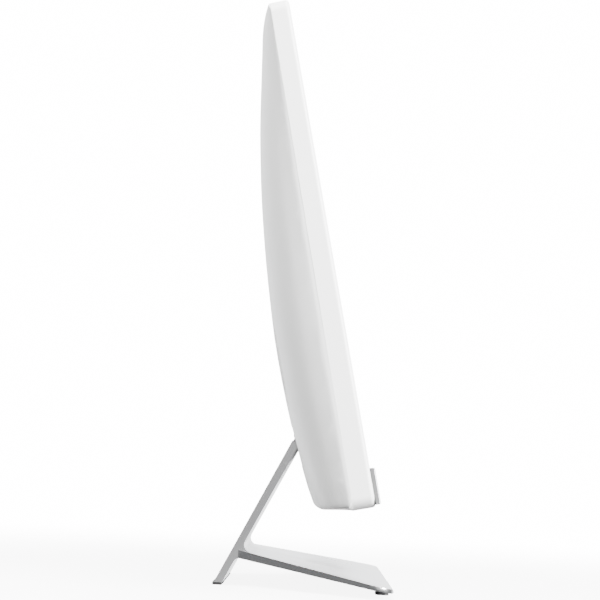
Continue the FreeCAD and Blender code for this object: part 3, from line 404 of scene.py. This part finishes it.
gold = metal("contact_gold", (0.83, 0.60, 0.26), 0.22, 0.32, (400, 400, 400), 1.0, 0.08, 0.00001)
tin = metal("tin_plate", (0.70, 0.70, 0.69), 0.25, 0.4, (300, 300, 300), 1.0, 0.08, 0.00001)
washer_steel = metal("washer_steel", (0.42, 0.42, 0.43), 0.28, 0.42, (500, 500, 500), 1.0, 0.1, 0.00002)
mesh_black = plastic("mesh_black_coat", (0.02, 0.02, 0.021), 0.2, 0.5, 0.65, 1500, 0.2, 0.00005)
foam_black = plastic("cloth_black", (0.016, 0.016, 0.017), 0.3, 0.75, 0.9, 2200, 0.5, 0.00012)
pipe_clear = plastic("light_pipe", (0.78, 0.80, 0.82), 0.02, 0.15, 0.25, 2500, 0.05, 0.00001)
blank_grey = plastic("socket_insert_grey", (0.22, 0.22, 0.225), 0.08, 0.42, 0.55, 1600, 0.2, 0.00004)

# contacts on the four type A tongues
b = newbm()
for ux, uz in ((124, 92.6), (124, 103.4), (142, 92.6), (142, 103.4)):
    for k in (-3.5, -1.1, 1.1, 3.5):
        rbox(b, ux + k - 0.55, ux + k + 0.55, 28.0, 38.3, uz - 0.16, uz + 0.02, 0.06)
piece("usb_contacts", b, gold)
# rolled lips round the cans' mouths
b = newbm()
for ux, uz in ((124, 92.6), (124, 103.4), (142, 92.6), (142, 103.4)):
    for s_ in (-1, 1):
        rbox(b, ux - 6.9, ux + 6.9, 40.2, 40.75, uz + s_ * 3.2 - 0.28, uz + s_ * 3.2 + 0.12 if s_ > 0 else uz - 3.2 + 0.28, 0.12)
        rbox(b, ux + s_ * 6.9 - 0.28, ux + s_ * 6.9 + 0.28, 40.2, 40.75, uz - 3.3, uz + 3.3, 0.12)
    for kx in (-3.2, 3.2):       # spring fingers in the upper and lower walls
        rbox(b, ux + kx - 1.1, ux + kx + 1.1, 31.0, 38.8, uz + 2.32, uz + 2.56, 0.1)
        rbox(b, ux + kx - 1.1, ux + kx + 1.1, 31.0, 38.8, uz - 2.56, uz - 2.32, 0.1)
piece("usb_lips", b, tin)
# video socket contacts
b = newbm()
for k in range(9):
    rbox(b, 160.5 - 4.5 + k * 1.0, 160.5 - 4.0 + k * 1.0, 29.0, 38.4, 98.46, 98.6, 0.05)
    rbox(b, 160.5 - 4.0 + k * 1.0, 160.5 - 3.5 + k * 1.0, 29.0, 38.4, 97.4, 97.54, 0.05)
piece("video_contacts", b, gold)
# network socket: eight slanted spring wires and two light windows
b = newbm()
for k in range(8):
    wx = 180 - 3.57 + k * 1.02
    ribbon(b, [(wx, 30.0, 93.5), (wx, 32.0, 93.7), (wx, 34.5, 95.2), (wx, 37.0, 96.7), (wx, 37.9, 96.6), (wx, 38.2, 96.0)],
           Vector((0.2, 0, 0)), Vector((0, -0.1, 0.12)))
piece("network_wires", b, gold)
b = newbm()
for s_ in (-1, 1):
    rbox(b, 180 + s_ * 5.6 - 1.6, 180 + s_ * 5.6 + 1.6, 40.3, 40.72, 102.2, 104.2, 0.15)
piece("network_lights", b, pipe_clear)
# rings round the round sockets
b = newbm()
lathe(b, 106.5, 40.5, 98, "y", [(1.85, -0.6), (3.1, -0.6), (3.1, 0.12), (2.85, 0.3), (2.15, 0.3), (1.85, 0.1)])
piece("audio_ring", b, blank_grey)
b = newbm()
lathe(b, 199.0, 40.5, 98, "y", [(3.3, -0.4), (4.4, -0.4), (4.4, 0.1), (4.15, 0.28), (3.55, 0.28), (3.3, 0.1)])
lathe(b, 199.0, 38.0, 98, "y", [(0.45, -4.0), (0.86, -4.0), (0.86, 0.9), (0.7, 1.2), (0.45, 1.2)], 20)
piece("inlet_ring", b, tin)

# dust mesh behind the exhaust slots, following the shell
b = newbm()
for k in range(76):
    x = -113 + k * (226 / 75)
    ribbon(b, [(x, shell_depth(x, z) - 3.6, z) for z in (294.5, 300, 306, 312, 319.5)], Vector((0.22, 0, 0)), Vector((0, 0.1, 0)))
for k in range(9):
    z = 295.5 + k * 2.9
    ribbon(b, [(x, shell_depth(x, z) - 3.85, z) for x in range(-113, 114, 14)] + [(113.0, shell_depth(113, z) - 3.85, z)],
           Vector((0, 0, 0.22)), Vector((0, 0.1, 0)))
piece("exhaust_mesh", b, mesh_black)
# dust mesh behind the round intake
b = newbm()
for k in range(36):
    x = -131 - 50 + k * (100 / 35)
    h_ = 0.64 * math.sqrt(max(0.0, 52.5 ** 2 - (x + 131) ** 2))
    if h_ > 2:
        ribbon(b, [(x, shell_depth(x, 112 + q * h_) - 3.6, 112 + q * h_) for q in (-1, -0.5, 0, 0.5, 1)], Vector((0.22, 0, 0)), Vector((0, 0.1, 0)))
for k in range(-11, 12):
    z = 112 + k * 2.9
    w_ = math.sqrt(max(0.0, 52.5 ** 2 - ((z - 112) / 0.64) ** 2))
    if w_ > 4:
        ribbon(b, [(-131 + q * w_, shell_depth(-131 + q * w_, z) - 3.85, z) for q in (-1, -0.5, 0, 0.5, 1)], Vector((0, 0, 0.22)), Vector((0, 0.1, 0)))
piece("intake_mesh", b, mesh_black)

# cloth behind the speaker slots and a rubber seal round the screen border
b = newbm()
for s_ in (-1, 1):
    x0, x1 = sorted((s_ * 108.0, s_ * 188.0))
    rbox(b, x0, x1, 4.9, 13.4, 2.5, 2.9, 0.12)
    for k in range(20):
        xx = x0 + 2 + k * 4
        rbox(b, xx, xx + 0.3, 5.2, 13.1, 2.41, 2.52, 0.04, 1)
piece("speaker_cloth", b, foam_black)
b = newbm()
for (x0, x1, z0, z1) in ((-265.75, 265.75, 347.22, 347.46), (-265.75, -265.52, 25.4, 347.3), (265.52, 265.75, 25.4, 347.3)):
    rbox(b, x0, x1, 0.6, 1.5, z0, z1, 0.1)
piece("screen_seal", b, MAT["rubber"])

# camera ring and status light in the top border
b = newbm()
lathe(b, 0, 0.45, 339.3, "y", [(1.92, 0.3), (1.92, 0.0), (2.05, -0.12), (2.7, -0.12), (2.85, 0.02), (2.85, 0.3)], 48)
piece("camera_ring", b, mesh_black)
b = newbm()
lathe(b, 8.0, 0.45, 339.3, "y", [(0.05, 0.2), (0.05, -0.06), (0.55, -0.06), (0.65, 0.02), (0.65, 0.2)], 24)
piece("camera_light", b, pipe_clear)
# ring round the power button and a small status light beside it
b = newbm()
lathe(b, 236, 8.5, -1.6, "z", [(4.12, 0.4), (4.12, -0.12), (4.3, -0.24), (4.75, -0.24), (4.95, -0.1), (4.95, 0.4)], 48)
rbox(b, 224.2, 226.6, 8.0, 9.0, -1.78, -1.3, 0.2)
piece("button_ring", b, tin)

# friction washers on the tilt hinge, both sides of each pair of ears
b = newbm()
for x in (-75.2, 74.3):
    lathe(b, x, 42.53, 58.568, "x", [(3.2, 0.0), (4.9, 0.0), (5.0, 0.1), (5.0, 0.75), (4.9, 0.85), (3.2, 0.85)], 40)
    lathe(b, x + (-0.5 if x < 0 else 0.95), 42.53, 58.568, "x", [(3.05, 0.0), (4.0, 0.0), (4.0, 0.4), (3.05, 0.4)], 40)
piece("hinge_washers", b, washer_steel)
# softened edges on the metal stand and the deeper trays
for nm, wd in (("stand_bracket", 0.00035), ("hinge_pocket", 0.0002), ("port_panel", 0.0002)):
    o = NODES[nm]
    wl_ = o.modifiers.new("weld", "WELD")
    wl_.merge_threshold = 0.000002
    bv = o.modifiers.new("soft_edge", "BEVEL")
    bv.width = wd
    bv.segments = 2
    bv.limit_method = "ANGLE"
    bv.angle_limit = math.radians(38)
    bv.use_clamp_overlap = True
